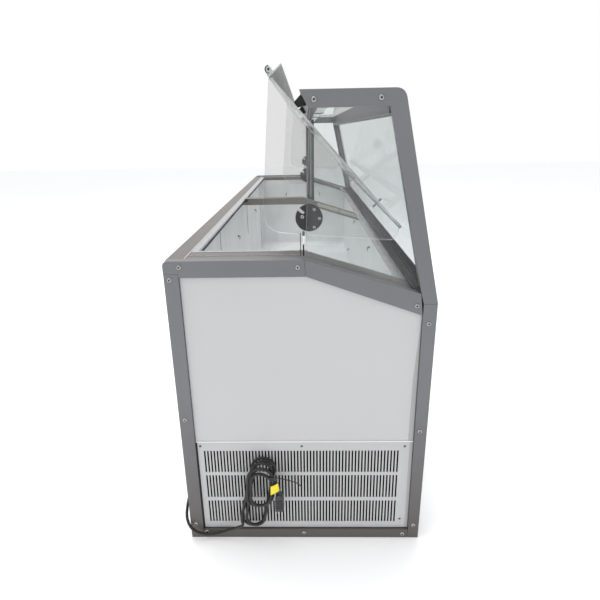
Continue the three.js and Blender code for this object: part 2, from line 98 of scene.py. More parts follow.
# ---- Materials
def node(tree, kind, inputs=None, **settings):
    """A shader node whose inputs are links where sockets are given, and constants elsewhere."""
    made = tree.nodes.new("ShaderNode" + kind)
    for key, value in settings.items():
        setattr(made, key, value)
    for key, value in (inputs or {}).items():
        if isinstance(value, bpy.types.NodeSocket):
            tree.links.new(value, made.inputs[key])
        else:
            made.inputs[key].default_value = value
    return made


def coordinates(tree, scale=(1, 1, 1)):
    where = node(tree, "TexCoord")
    return node(tree, "Mapping", {"Vector": where.outputs["Object"], "Scale": scale}).outputs[0]


def noise(tree, size, stretch=(1, 1, 1), detail=4.0, distortion=0.0):
    """Noise whose features are about size metres across, drawn out by stretch along each axis."""
    scale = tuple(1 / (size * s) for s in stretch)
    inputs = {"Vector": coordinates(tree, scale), "Scale": 1.0, "Detail": detail, "Distortion": distortion}
    return node(tree, "TexNoise", inputs).outputs["Fac"]


def one_coordinate(tree, axis):
    return node(tree, "SeparateXYZ", {"Vector": coordinates(tree)}).outputs[axis]


def ramp(tree, value, *stops):
    """Colours blended along value, from stops of (place, colour)."""
    made = node(tree, "ValToRGB", {"Fac": value})
    elements = made.color_ramp.elements
    while len(elements) < len(stops):
        elements.new(0.5)
    for element, (place, shade) in zip(elements, stops):
        element.position = place
        element.color = (*shade, 1)
    return made.outputs["Color"]


def spread(tree, value, low, high, from_low=0.3, from_high=0.7):
    """value mapped from the range from_low to from_high onto low to high."""
    inputs = {"Value": value, "From Min": from_low, "From Max": from_high, "To Min": low, "To Max": high}
    return node(tree, "MapRange", inputs).outputs["Result"]


def mixed(tree, factor, a, b):
    made = node(tree, "Mix", data_type="RGBA")
    for socket, value in ((made.inputs[0], factor), (made.inputs[6], a), (made.inputs[7], b)):
        if isinstance(value, bpy.types.NodeSocket):
            tree.links.new(value, socket)
        elif isinstance(value, tuple):
            socket.default_value = (*value, 1)
        else:
            socket.default_value = value
    return made.outputs[2]


def blended(tree, share, first, second):
    made = node(tree, "MixShader")
    for socket, value in zip(made.inputs, (share, first.outputs[0], second.outputs[0])):
        tree.links.new(value, socket)
    return made


def bumped(tree, shader, height, strength, distance):
    raised = node(tree, "Bump", {"Height": height, "Strength": strength, "Distance": distance})
    tree.links.new(raised.outputs["Normal"], shader.inputs["Normal"])


def finished(tree, shader, base, rough):
    tree.links.new(base, shader.inputs["Base Color"])
    tree.links.new(rough, shader.inputs["Roughness"])


def shade(color, by):
    return tuple(min(1.0, c * by) for c in color)


def blank(name):
    made = bpy.data.materials.new(name)
    made.use_nodes = True
    return made, made.node_tree, made.node_tree.nodes["Principled BSDF"]


def surface(name, color, rough, metal, vary, vary_size=0.25, grain=0.0012, grain_stretch=(1, 1, 1),
            bump=0.04, rough_vary=0.07, speck=0.0, speck_size=0.002, low_painted_shade=None, coat=0.0, specular=0.5):
    """A finish with broad changes of tone, a fine grain in its roughness and height, and specks."""
    made, tree, shader = blank(name)
    broad = noise(tree, vary_size, grain_stretch if max(grain_stretch) > 1 else (1, 1, 1), 3.0, 0.4)
    base = ramp(tree, broad, (0.3, shade(color, 1 - vary)), (0.7, shade(color, 1 + vary)))
    fine = noise(tree, grain, grain_stretch, 5.0)
    if speck:
        dots = noise(tree, speck_size, (1, 1, 1), 2.0)
        base = mixed(tree, spread(tree, dots, 0.0, speck, 0.52, 0.72), base, shade(color, 0.25))
    # Painted shade: towards the bottom the colour is mixed with the low colour, up to the given share at the
    # floor, fading out at the given height.
    if low_painted_shade:
        tint, top, amount = low_painted_shade
        base = mixed(tree, spread(tree, one_coordinate(tree, "Z"), amount, 0.0, 0.0, top), base, tint)
    finished(tree, shader, base, spread(tree, fine, rough - rough_vary, rough + rough_vary))
    bumped(tree, shader, fine, bump * 5, 0.0004)
    shader.inputs["Metallic"].default_value = metal
    shader.inputs["Coat Weight"].default_value = coat
    shader.inputs["Specular IOR Level"].default_value = specular
    return made


def clear_sheet(name, tint, film, film_color, foot_tint=None, heights=(0.9, 1.1)):
    """Clear sheet: lets light straight through, mirrors more at a glancing angle, and carries a thin haze.

    With foot_tint its tint shades from that to tint between two heights in metres.
    """
    made, tree, shader = blank(name)
    tree.nodes.remove(shader)
    through = node(tree, "BsdfTransparent", {"Color": (*tint, 1)})
    if foot_tint:
        share = spread(tree, one_coordinate(tree, "Z"), 0.0, 1.0, *heights)
        tree.links.new(mixed(tree, share, foot_tint, tint), through.inputs["Color"])
    mirror = node(tree, "BsdfGlossy", {"Color": (1, 1, 1, 1), "Roughness": 0.02})
    glance = node(tree, "LayerWeight", {"Blend": 0.5}).outputs["Facing"]
    mirrored = ((0.0, 0.022), (0.72, 0.05), (0.9, 0.22), (1.0, 0.60))
    curve = ramp(tree, glance, *[(facing, (share,) * 3) for facing, share in mirrored])
    back = node(tree, "NewGeometry").outputs["Backfacing"]
    pane = blended(tree, mixed(tree, back, curve, (0.0, 0.0, 0.0)), through, mirror)
    dust = node(tree, "BsdfDiffuse", {"Color": (*film_color, 1)})
    smear = noise(tree, 0.16, (1, 1, 2.2), 5.0, 1.2)
    hazy = blended(tree, spread(tree, smear, film * 0.5, film * 1.5), pane, dust)
    tree.links.new(hazy.outputs[0], tree.nodes["Material Output"].inputs["Surface"])
    return made


def stucco_liner():
    """Pale lacquered liner: faint hammered relief, frosty patches and a few drip marks."""
    made, tree, shader = blank("liner_lacquer")
    patches = noise(tree, 0.13, (1, 1, 1.6), 6.0, 0.8)
    streaks = noise(tree, 0.03, (1, 1, 9), 3.0, 0.3)
    whites = (0.3, (0.74, 0.76, 0.77)), (0.55, (0.82, 0.83, 0.83)), (0.75, (0.90, 0.90, 0.89))
    base = ramp(tree, patches, *whites)
    base = mixed(tree, spread(tree, streaks, 0.0, 0.12, 0.5, 0.75), base, (0.55, 0.56, 0.57))
    finished(tree, shader, base, spread(tree, patches, 0.3, 0.48))
    dimples = node(tree, "TexVoronoi", {"Vector": coordinates(tree, (140, 140, 140)), "Scale": 1.0})
    bumped(tree, shader, dimples.outputs["Distance"], 0.25, 0.0006)
    shader.inputs["Metallic"].default_value = 0.1
    return made


RIB_PITCH = 0.0088


def banded_ledge():
    """Dark ribbed inner band of the customer's ledge, its rib crests painted as fine bright lines along it:
    painted highlight.
    """
    made, tree, shader = blank("ribbed_band")
    turns = {0: one_coordinate(tree, "Y"), 1: 2 * math.pi / RIB_PITCH}
    waves = node(tree, "Math", turns, operation="MULTIPLY").outputs[0]
    lines = node(tree, "Math", {0: waves}, operation="SINE").outputs[0]
    # Rib crests are painted paler than the grooves, in fine lines: painted highlight.
    dark, pale = (0.008, 0.008, 0.009), (0.16, 0.16, 0.165)
    base = ramp(tree, spread(tree, lines, 0, 1, 0.55, 1.0), (0.0, dark), (1.0, pale))
    fine = noise(tree, 0.0015, (60, 1, 1), 3.0)
    finished(tree, shader, base, spread(tree, fine, 0.45, 0.62))
    shader.inputs["Specular IOR Level"].default_value = 0.25
    bumped(tree, shader, lines, 0.6, 0.0008)
    return made


def lamp_diffuser():
    """Milky cover of the lamp."""
    made, tree, shader = blank("lamp_diffuser")
    soft = noise(tree, 0.03, (8, 1, 1), 3.0)
    base = ramp(tree, soft, (0.3, (0.82, 0.82, 0.79)), (0.7, (0.93, 0.93, 0.9)))
    finished(tree, shader, base, spread(tree, soft, 0.22, 0.36))
    return made


# Brown that the frame is painted towards the bottom: painted shade.
LOW_SHADE_BROWN = (0.088, 0.072, 0.063)
GREY = surface("frame_powder_coat", (0.172, 0.176, 0.186), 0.42, 0.35, 0.05, 0.5, 0.0009, bump=0.05,
               low_painted_shade=(LOW_SHADE_BROWN, 0.50, 0.75))
GREY_SILL = surface("sill_powder_coat", (0.172, 0.176, 0.186), 0.42, 0.35, 0.05, 0.5, 0.0009, bump=0.05)
POST = surface("post_dark_grey", (0.052, 0.055, 0.057), 0.34, 0.5, 0.25, 0.02, 0.0009, (1, 1, 30), bump=0.03)
ENAMEL = surface("white_enamel", (0.535, 0.535, 0.545), 0.36, 0.0, 0.02, 0.7, 0.0016, bump=0.02,
                 rough_vary=0.05, coat=0.25)
GRILLE = surface("grille_enamel", (0.53, 0.53, 0.535), 0.44, 0.0, 0.04, 0.3, 0.0012, bump=0.06, speck=0.18,
                 speck_size=0.0028)
# Bright white: painted highlight along the grille's top lip, and the colour of the glass blocks.
WHITE_AND_LIP_HIGHLIGHT = surface("white_and_lip_highlight", (0.86, 0.86, 0.86), 0.3, 0.0, 0.02, 0.3, bump=0.02)
# Grey copy of the white panel enamel: painted shade.
MARGIN = surface("shaded_margin", (0.40, 0.40, 0.405), 0.4, 0.0, 0.04, 0.3, bump=0.02)
STEEL = surface("brushed_steel", (0.19, 0.172, 0.162), 0.42, 0.85, 0.05, 0.010, 0.0011, (90, 1, 1), bump=0.05)
STEEL_ENDS = surface("brushed_steel_ends", (0.20, 0.18, 0.168), 0.38, 0.85, 0.05, 0.010, 0.0011,
                     (1, 60, 1), bump=0.05)
DARK_LEDGE = surface("dark_brushed_ledge", (0.055, 0.055, 0.058), 0.48, 0.5, 0.15, 0.05, 0.0011,
                     (90, 1, 1), bump=0.03)
PALE_TRIM = surface("pale_trim", (0.44, 0.445, 0.45), 0.28, 0.85, 0.06, 0.08, 0.0012, (70, 1, 1), bump=0.03)
CREAM_CAP = surface("divider_cap", (0.60, 0.575, 0.50), 0.33, 0.55, 0.07, 0.05, 0.0012, (1, 60, 1), bump=0.03)
DIVIDER = surface("divider_steel", (0.27, 0.255, 0.235), 0.32, 0.9, 0.12, 0.05, 0.0012, (1, 70, 1))
LINER = stucco_liner()
RIBBED = banded_ledge()
ALUMINIUM = surface("brushed_aluminium", (0.50, 0.51, 0.51), 0.32, 0.95, 0.10, 0.06, 0.0011, (80, 1, 1))
# Darker copy of the brushed aluminium: painted shade.
SHADED_ALUMINIUM = surface("shadowed_aluminium", (0.14, 0.14, 0.143), 0.36, 0.95, 0.2, 0.05, 0.0011, (70, 1, 1))
BRIGHT = surface("polished_screw", (0.40, 0.385, 0.36), 0.22, 1.0, 0.08, 0.004, 0.0008, bump=0.03)
KICK = surface("kick_strip", (0.020, 0.021, 0.022), 0.3, 0.2, 0.2, 0.03, 0.0012, (60, 1, 1), bump=0.03)
# Near black: painted shade in screw recesses, and the whole colour of the lid grip's dark screws.
DARK_SCREW_AND_RECESS_SHADE = surface("dark_screw_and_recess_shade", (0.02, 0.02, 0.02), 0.6, 0.2, 0.2, 0.003, 0.0006, bump=0.02)
DULL_SCREW = surface("dull_screw", (0.17, 0.17, 0.17), 0.4, 0.7, 0.15, 0.004, 0.0008, bump=0.03)
PLASTIC = surface("black_plastic", (0.022, 0.022, 0.024), 0.42, 0.0, 0.25, 0.02, 0.0011, bump=0.10)
DISC = surface("speckled_plastic", (0.014, 0.014, 0.016), 0.5, 0.0, 0.3, 0.006, 0.0016, bump=0.16)
RUBBER = surface("black_rubber", (0.016, 0.016, 0.017), 0.6, 0.0, 0.25, 0.02, 0.0014, bump=0.10, specular=0.4)
PLUG = surface("plug_plastic", (0.030, 0.030, 0.033), 0.4, 0.0, 0.2, 0.01, 0.0012, bump=0.08)
FILTER = surface("filter_mesh", (0.004, 0.004, 0.004), 0.85, 0.0, 0.3, 0.01, 0.0016, bump=0.2, specular=0.1)
CABLE = surface("cable_sheath", (0.006, 0.006, 0.0065), 0.42, 0.0, 0.25, 0.03, 0.002, specular=0.55)
ENAMEL_BLACK = surface("black_enamel", (0.03, 0.031, 0.033), 0.4, 0.2, 0.2, 0.08, 0.0015, bump=0.05)
FINS = surface("fin_stock", (0.03, 0.03, 0.032), 0.4, 0.8, 0.15, 0.05, 0.0012, (1, 1, 30))
GALVANISED = surface("galvanised_tray", (0.10, 0.10, 0.105), 0.42, 0.7, 0.18, 0.035, 0.004, bump=0.03)
FOAM = surface("cut_foam", (0.72, 0.60, 0.30), 0.9, 0.0, 0.12, 0.02, 0.0025, bump=0.25, speck=0.3,
               speck_size=0.003)
TAG = surface("yellow_tag", (0.86, 0.70, 0.03), 0.5, 0.0, 0.10, 0.012, 0.0009, bump=0.05)
# Pale edge colour: painted highlight on the clear sheets' edges; also the white of the knob's pointer.
EDGE_HIGHLIGHT_AND_WHITE = surface("edge_highlight_and_white", (0.84, 0.86, 0.85), 0.16, 0.0, 0.10, 0.05, 0.001, (1, 1, 12), bump=0.02,
               specular=0.8)
EDGE_GREY = surface("shaded_edge", (0.33, 0.36, 0.36), 0.16, 0.0, 0.2, 0.05, 0.001, (1, 1, 12), bump=0.02,
                    specular=0.8)
OLIVE_RAIL = surface("lid_foot_rail", (0.20, 0.20, 0.165), 0.3, 0.6, 0.1, 0.02, 0.0011, (60, 1, 1))
CLIP = surface("clip_grey", (0.20, 0.205, 0.195), 0.3, 0.1, 0.15, 0.01, 0.001, (1, 8, 1), bump=0.05)
BRACKET_STEEL = surface("bracket_steel", (0.12, 0.12, 0.12), 0.4, 0.8, 0.2, 0.01, 0.001, bump=0.05)
LAMP = lamp_diffuser()
GLASS = clear_sheet("guard_glass", (0.930, 0.942, 0.940), 0.02, (0.70, 0.72, 0.72))
FRONT_GLASS = clear_sheet("front_glass_pane", (0.835, 0.850, 0.850), 0.02, (0.70, 0.72, 0.72),
                          (0.93, 0.945, 0.945), (0.80, 0.95))
ACRYLIC = clear_sheet("lid_acrylic", (0.975, 0.976, 0.975), 0.04, (0.66, 0.66, 0.66))
# Darker clear sheet for the near lid's outer cheek: painted shade, which fades out towards the bottom.
SHADED_CHEEK = clear_sheet("lid_cheek_shaded", (0.870, 0.872, 0.870), 0.03, (0.66, 0.66, 0.66), (0.97, 0.972, 0.97),
                    (0.96, 1.06))


# ---- Mesh helpers
def rounded(corners, steps=5):
    """Corner points [a, b] or [a, b, radius] as a polygon whose corners are rounded."""
    points = []
    for i, corner in enumerate(corners):
        here = Vector(corner[:2])
        radius = corner[2] if len(corner) > 2 else 0
        if not radius:
            points.append(tuple(here))
            continue
        back = (Vector(corners[i - 1][:2]) - here).normalized()
        ahead = (Vector(corners[(i + 1) % len(corners)][:2]) - here).normalized()
        reach = radius / math.tan(back.angle(ahead) / 2)
        start, end = here + back * reach, here + ahead * reach
        for k in range(steps + 1):
            t = k / steps
            points.append(tuple(start * (1 - t) ** 2 + here * (2 * t * (1 - t)) + end * t * t))
    return points


def rect(a0, b0, a1, b1):
    return [(a0, b0), (a1, b0), (a1, b1), (a0, b1)]


class Maker:
    """Gathers solids, given in millimetres, into the mesh of one piece."""

    def __init__(self):
        self.mesh = bmesh.new()

    def prism(self, corners, low, high, axis=0, mat=0, place=None):
        """corners are (y, z) for axis 0, (x, z) for axis 1 and (x, y) for axis 2."""
        rings = []
        for level in (low, high):
            spots = [[*corner[:axis], level, *corner[axis:]] for corner in corners]
            rings.append([self.mesh.verts.new(self.at(spot, place)) for spot in spots])
        faces = [self.mesh.faces.new(rings[0]), self.mesh.faces.new(rings[1][::-1])]
        for i in range(len(corners)):
            faces.append(self.mesh.faces.new((rings[0][i], rings[0][i - 1], rings[1][i - 1], rings[1][i])))
        for face in faces:
            face.material_index = mat
        return faces

    def at(self, point, place):
        point = Vector(point)
        return (place @ point if place else point) * MM

    def box(self, low, high, mat=0, place=None):
        return self.prism(rect(*low[:2], *high[:2]), low[2], high[2], 2, mat, place)

    def turned(self, profile, centre, axis=(-1, 0, 0), sides=24, mats=None):
        """A profile of (radius, height) turned about an axis through centre."""
        spin = Vector((0, 0, 1)).rotation_difference(Vector(axis)).to_matrix()
        rings = []
        for radius, height in profile:
            ring = []
            for i in range(sides if radius else 1):
                a = 2 * math.pi * i / sides
                offset = Vector((radius * math.cos(a), radius * math.sin(a), height))
                ring.append(self.mesh.verts.new((Vector(centre) + spin @ offset) * MM))
            rings.append(ring)
        for k, (lower, upper) in enumerate(zip(rings, rings[1:])):
            for i in range(sides):
                spots = ((lower, i), (lower, i + 1), (upper, i + 1), (upper, i))
                corners = list(dict.fromkeys(ring[j % len(ring)] for ring, j in spots))
                if len(corners) > 2:
                    self.mesh.faces.new(corners).material_index = mats[k] if mats else 0

    def tube(self, points, radius, sides=8, flat=None):
        """A round bar, or a flat strap where flat is its (width, thickness), along points."""
        path = [Vector(p) for p in points]
        if flat:
            w, t = flat[0] / 2, flat[1] / 2
            section = rect(-w, -t, w, t)
        else:
            angles = [2 * math.pi * i / sides for i in range(sides)]
            section = [(radius * math.cos(a), radius * math.sin(a)) for a in angles]
        side = None
        rings = []
        for i, point in enumerate(path):
            along = (path[min(i + 1, len(path) - 1)] - path[max(i - 1, 0)]).normalized()
            if side is None:
                start = Vector((1, 0, 0)) if abs(along.x) < 0.8 else Vector((0, 1, 0))
                side = along.cross(start).normalized()
            side = (side - along * side.dot(along)).normalized()
            other = along.cross(side)
            rings.append([self.mesh.verts.new((point + side * a + other * b) * MM) for a, b in section])
        self.mesh.faces.new(rings[0][::-1])
        self.mesh.faces.new(rings[-1])
        for lower, upper in zip(rings, rings[1:]):
            for i in range(len(section)):
                self.mesh.faces.new((lower[i - 1], lower[i], upper[i], upper[i - 1]))

    def piece(self, name, materials, slot, bevel=0.0, body="cabinet", replaces=()):
        """Ends the mesh and makes it a named piece that rides on a body."""
        bmesh.ops.recalc_face_normals(self.mesh, faces=self.mesh.faces)
        data = bpy.data.meshes.new(name)
        self.mesh.to_mesh(data)
        self.mesh.free()
        for material in materials if isinstance(materials, list) else [materials]:
            data.materials.append(material)
        made = linked(name, data)
        weigh = soften(made, bevel, 2, "MITER_ARC")
        if not bevel:
            data.set_sharp_from_angle(angle=SHARP_ANGLE)
            weigh.keep_sharp = True
        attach(made, body)
        if replaces:
            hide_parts(*replaces)
        return made


def bar(name, corners, span, material, slot, bevel=0.0):
    """A piece that is one prism along X."""
    make = Maker()
    make.prism(corners, *span)
    return make.piece(name, material, slot, bevel)


def soften(made, bevel, segments, miter):
    """Smooth shading, with edges rounded by bevel millimetres."""
    for polygon in made.data.polygons:
        polygon.use_smooth = True
    if bevel:
        edge = made.modifiers.new("edges", "BEVEL")
        edge.width = bevel * MM
        edge.segments = segments
        edge.limit_method = "ANGLE"
        edge.angle_limit = SHARP_ANGLE
        edge.miter_outer = miter
    weigh = made.modifiers.new("shading", "WEIGHTED_NORMAL")
    weigh.weight = 90
    return weigh


def dress(name, material, slot, bevel=0.0, segments=2):
    """A CAD node that stays in view: its finish, and softened edges."""
    made = NODES[name]
    made.data.materials.clear()
    made.data.materials.append(material)
    weld = made.modifiers.new("weld", "WELD")
    weld.merge_threshold = 2e-5
    soften(made, bevel, segments, "MITER_SHARP")


def between(a, b, low, high, t):
    """The point at t on the line that is a at low and b at high."""
    return a * ((high - t) / (high - low)) + b * ((t - low) / (high - low))


def smooth_line(points, step):
    """Points about step apart on a centripetal Catmull-Rom curve through points."""
    knots = [Vector(p) for p in points]
    knots = [knots[0] * 2 - knots[1], *knots, knots[-1] * 2 - knots[-2]]
    line = []
    for i in range(1, len(knots) - 2):
        near = knots[i - 1:i + 3]
        times = [0.0]
        for a, b in zip(near, near[1:]):
            times.append(times[-1] + max((b - a).length, 1e-6) ** 0.5)
        count = max(1, round((near[2] - near[1]).length / step))
        for k in range(count):
            t = times[1] + (times[2] - times[1]) * k / count
            first = [between(near[j], near[j + 1], times[j], times[j + 1], t) for j in range(3)]
            second = [between(first[j], first[j + 1], times[j], times[j + 2], t) for j in range(2)]
            line.append(between(*second, times[1], times[2], t))
    line.append(knots[-2])
    return line


# ---- Mains lead
LEAD_D = 8.5
LEAD_ROUTE = [
    (-1076, 345.2, 184.6), (-1077, 345.4, 172), (-1080, 347.5, 156), (-1087, 351.5, 140),
    (-1098, 355.8, 124), (-1113, 359.2, 108), (-1129, 360.8, 92), (-1145, 359.2, 76),
    (-1156, 352.5, 60), (-1161.5, 341, 45), (-1162, 326, 32.5), (-1160, 309, 24.5),
    (-1158.5, 291, 21), (-1158, 272, 22.5), (-1158.5, 253, 29), (-1160.5, 235, 38.2),
    (-1164.5, 217, 48.2), (-1169.5, 199, 59.8), (-1173.5, 182.4, 70.8),
]
LAYS = (-1155.6, -1164.6, -1173.8, -1185.2)
ROUND = {"straight": 33, "radius": 36.5}
LONG = {"straight": 90, "radius": 30}
# Turns wound so far, then the centre (y, z), lean, radius and lay of the loop there.
LONG_KEYS = [
    (0.0, 136, 177, 0.21, 33, LAYS[0]), (1.0, 136, 177, 0.21, 33, LAYS[0]),
    (1.34, 129, 180, 0.19, 27, LAYS[1]), (2.0, 129, 180, 0.19, 27, LAYS[1]),
    (2.34, 140, 181, 0.23, 26.5, LAYS[2]), (2.5, 138, 181, 0.22, 26.5, LAYS[2]),
    (2.62, 127, 182, 0.16, 27, LAYS[2]),
]
ROUND_KEYS = [
    (0.64, 118, 214, 0.04, 27, LAYS[2]), (0.66, 118, 214, 0.04, 27, LAYS[2]),
    (0.80, 125, 216, 0.06, 36, LAYS[2]), (1.0, 126, 216, 0.06, 36.5, LAYS[3]),
    (1.55, 126, 216, 0.06, 36.5, LAYS[3]), (1.8, 126, 217, 0.06, 27.3, LAYS[3]),
    (2.12, 125, 217, 0.06, 27.3, LAYS[3]),
]
LEAD_END = [
    (-1186, 149, 252), (-1186.5, 142, 263), (-1187, 130, 269.5), (-1187, 117, 267.5), (-1186.5, 105, 260),
    (-1185.5, 96, 251), (-1184.5, 88.5, 242.5), (-1183.8, 81.5, 235.5), (-1183.4, 77, 229),
]


def on_loop(form, keys, u):
    """A point u turns round a long loop, upwards from the foot of its +Y side, then over towards -Y."""
    below = max(k for k in range(len(keys) - 1) if keys[k][0] <= u + 1e-9)
    first, last = keys[below], keys[below + 1]
    t = min(1.0, (u - first[0]) / (last[0] - first[0]))
    t = t * t * (3 - 2 * t)
    cy, cz, turn, radius, x = (a + (b - a) * t for a, b in zip(first[1:], last[1:]))
    h = form["straight"]
    up, left = Vector((-math.sin(turn), math.cos(turn))), Vector((math.cos(turn), math.sin(turn)))
    cap = math.pi * form["radius"]
    s = (u % 1.0) * (4 * h + 2 * cap)
    if s < 2 * h:
        across, along = radius, s - h
    elif s < 2 * h + cap:
        a = (s - 2 * h) / form["radius"]
        across, along = radius * math.cos(a), h + radius * math.sin(a)
    elif s < 4 * h + cap:
        across, along = -radius, h - (s - 2 * h - cap)
    else:
        a = math.pi + (s - 4 * h - cap) / form["radius"]
        across, along = radius * math.cos(a), -h + radius * math.sin(a)
    y, z = Vector((cy, cz)) + left * across + up * along
    return x, y, z


def evenly(first, last, count):
    return [first + k * (last - first) / count for k in range(count + 1)]


def lead_path():
    """The free run, the long loops, the rounder loops over them, and the way down to the plug."""
    points = list(LEAD_ROUTE[:-1]) + [(-1172, 184.6, 71.8), (-1166, 187.8, 84)]
    for u in evenly(0.004, 2.62, 92):
        x, y, z = on_loop(LONG, LONG_KEYS, u)
        x -= 8.0 * max(0.0, 1 - u / 0.08) ** 2
        points.append((x, y, z))
    points += [on_loop(ROUND, ROUND_KEYS, u) for u in evenly(0.66, 2.12, 45)]
    return points + LEAD_END


def make_lead():
    """The lead as a round curve, and its length in metres."""
    line = smooth_line(lead_path(), 5.0)
    curve = bpy.data.curves.new("mains_flex", "CURVE")
    curve.dimensions = "3D"
    curve.bevel_depth = LEAD_D / 2 * MM
    curve.bevel_resolution = 3
    curve.use_fill_caps = True
    spline = curve.splines.new("POLY")
    spline.points.add(len(line) - 1)
    for point, place in zip(spline.points, line):
        point.co = (*(place * MM), 1)
    curve.materials.append(CABLE)
    flex = linked("mains_flex", curve)
    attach(flex, "cabinet")
    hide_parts("mains_lead", "lead_hank")
    length = sum((b - a).length for a, b in zip(line, line[1:])) * MM
    return flex, length


def make_plug():
    """Moulded plug with grip ribs, and a ribbed strain relief that leans towards the hank."""
    make = Maker()
    body = [(59, 141.5, 4), (84, 141.5, 4), (84, 176, 5), (78, 199.5, 7), (65, 199.5, 7), (59, 176, 5)]
    make.prism(rounded(body, 4), -1193.5, -1173.5)
    for i in range(5):
        z = 152 + i * 6.5
        make.prism(rect(62.5, z, 80.5, z + 2.6), -1194.8, -1193)
    sleeve = [(0, 0), (6.6, 0), (6.4, 6)]
    for i in range(5):
        sleeve += [(5.6 - i * 0.25, 7 + i * 5), (6.1 - i * 0.25, 9.5 + i * 5)]
    sleeve += [(4.9, 33), (4.6, 38), (0, 38)]
    make.turned(sleeve, (-1183.4, 71.6, 196), (0, 0.13, 0.99), 20)
    plug = make.piece("mains_plug_moulding", PLUG, "black_plastic", 1.1, replaces=["mains_plug"])
    pins = Maker()
    for y in (65.5, 77.5):
        pins.box((-1186.6, y - 0.8, 130), (-1180.4, y + 0.8, 142))
    pins.turned([(0, 0), (2.4, 0.4), (2.4, 14), (0, 14)], (-1178, 71.5, 128.5), (0, 0, 1), 14)
    blades = pins.piece("plug_pins", BRIGHT, "bright_aluminium", 0.3)
    return [plug, blades]


TAG_CORNERS = [(95.9, 198.8), (70.3, 215.4), (73.7, 241), (94.8, 229.1)]


def make_tag():
    """Plain tag that hangs on the lead, its face slightly dished."""
    make = Maker()
    cells = 8
    layers = []
    for back in (0, 0.5):
        grid = []
        for i in range(cells + 1):
            low = Vector(TAG_CORNERS[0]).lerp(Vector(TAG_CORNERS[1]), i / cells)
            high = Vector(TAG_CORNERS[3]).lerp(Vector(TAG_CORNERS[2]), i / cells)
            row = []
            for j in range(cells + 1):
                y, z = low.lerp(high, j / cells)
                dish = 1.8 * math.sin(math.pi * i / cells) + 0.8 * math.sin(2.6 * j / cells + 0.4)
                row.append(make.mesh.verts.new(Vector((-1190.6 - dish + back, y, z)) * MM))
            grid.append(row)
        layers.append(grid)
    for grid in layers:
        for i in range(cells):
            for j in range(cells):
                make.mesh.faces.new((grid[i][j], grid[i + 1][j], grid[i + 1][j + 1], grid[i][j + 1]))
    rim = [(i, 0) for i in range(cells)] + [(cells, j) for j in range(cells)]
    rim += [(i, cells) for i in range(cells, 0, -1)] + [(0, j) for j in range(cells, 0, -1)]
    for (a, b), (c, d) in zip(rim, rim[1:] + rim[:1]):
        make.mesh.faces.new((layers[0][a][b], layers[0][c][d], layers[1][c][d], layers[1][a][b]))
    return make.piece("lead_tag_sheet", TAG, "tag_yellow", replaces=["lead_tag"])


def make_tie():
    """Toothed strap drawn round the hank, its free end left long."""
    make = Maker()
    y0, y1, x0, x1, z = 80.6, 104.5, -1191, -1150.8, 257.5
    loop = rounded([(x0, y0, 5), (x1, y0, 3), (x1, y1, 3), (x0, y1, 5)], 4)
    ring = [(x, y, z) for x, y in loop]
    make.tube(ring + ring[:1], 0, flat=(3.4, 1.1))
    make.box((-1192.5, 76.5, 254), (-1185.5, 82, 261))
    tail = smooth_line([(-1189, 80, 257.5), (-1186, 72, 254), (-1179, 59, 244.5), (-1170, 42, 231.5),
                        (-1162, 26, 218), (-1157.5, 16, 208), (-1156.5, 9.1, 198)], 2.4)
    make.tube(tail, 0, flat=(2.6, 1.1))
    for tooth in tail[2:-2:2]:
        make.box(tooth - Vector((1.3, 0.6, 1.0)), tooth + Vector((-0.5, 0.6, 1.0)))
    return make.piece("hank_strap", PLASTIC, "black_plastic", replaces=["hank_tie"])


def make_gland():
    """Bolted foot and a long tapered, ribbed strain relief."""
    make = Maker()
    profile = [(0, 0), (5.6, 0)]
    for i in range(6):
        r = 5.8 + i * 0.65
        profile += [(r, i * 5 + 1.2), (r + 0.35, i * 5 + 3.2), (r - 0.7, i * 5 + 3.6), (r - 0.6, i * 5 + 5)]
    profile += [(9.6, 32), (9.6, 34), (0, 34)]
    make.turned(profile, (-1076, 348.3, 185), (0, 0, 1), 22)
    make.prism(rounded([(*corner, 3) for corner in rect(-1090, 216.5, -1062, 236)]), 338.5, 348, 1)
    gland = make.piece("cord_gland_boot", PLASTIC, "black_plastic", 0.6, replaces=["cord_gland"])
    spots = [(x, 348, 227) for x in (-1085.5, -1066.5)]
    return [gland, make_screws("gland_screws", spots, (0, 1, 0), 2.6, 1.5)]


def screw_head(make, centre, axis, radius, height):
    """Domed head with a rim and a shallow pit, and a thin cross laid on its crown; pit and cross take painted
    recess shade.
    """
    shape = [(1, 0), (1, 0.22), (0.93, 0.55), (0.74, 0.85), (0.5, 1), (0.3, 0.98), (0.24, 0.5), (0, 0.35)]
    make.turned([(radius * r, height * h) for r, h in shape], centre, axis, 20, [0, 0, 0, 0, 0, 1, 1])
    normal = Vector(axis).normalized()
    side = normal.cross(Vector((0, 0, 1)) if abs(normal.z) < 0.9 else Vector((1, 0, 0))).normalized()
    spin = Matrix((side, normal.cross(side), normal)).transposed().to_4x4()
    turn = Matrix.Rotation(0.6 + (centre[1] * 0.37 + centre[2] * 0.11) % 1.2, 4, "Z")
    place = Matrix.Translation(Vector(centre)) @ spin @ turn
    arm, half = radius * 0.52, radius * 0.13
    top = height * 1.01
    make.box((-arm, -half, top - 0.2), (arm, half, top), 1, place)
    make.box((-half, -arm, top - 0.2), (half, arm, top), 1, place)


def make_screws(name, spots, axis, radius, height, metal=BRIGHT, slot="bright_aluminium"):
    """A piece that is a set of screw heads alike."""
    make = Maker()
    for spot in spots:
        screw_head(make, spot, axis, radius, height)
    return make.piece(name, [metal, DARK_SCREW_AND_RECESS_SHADE], slot)


flex, lead_length = make_lead()
on_lead = [*make_plug(), make_tag(), make_tie(), *make_gland()]


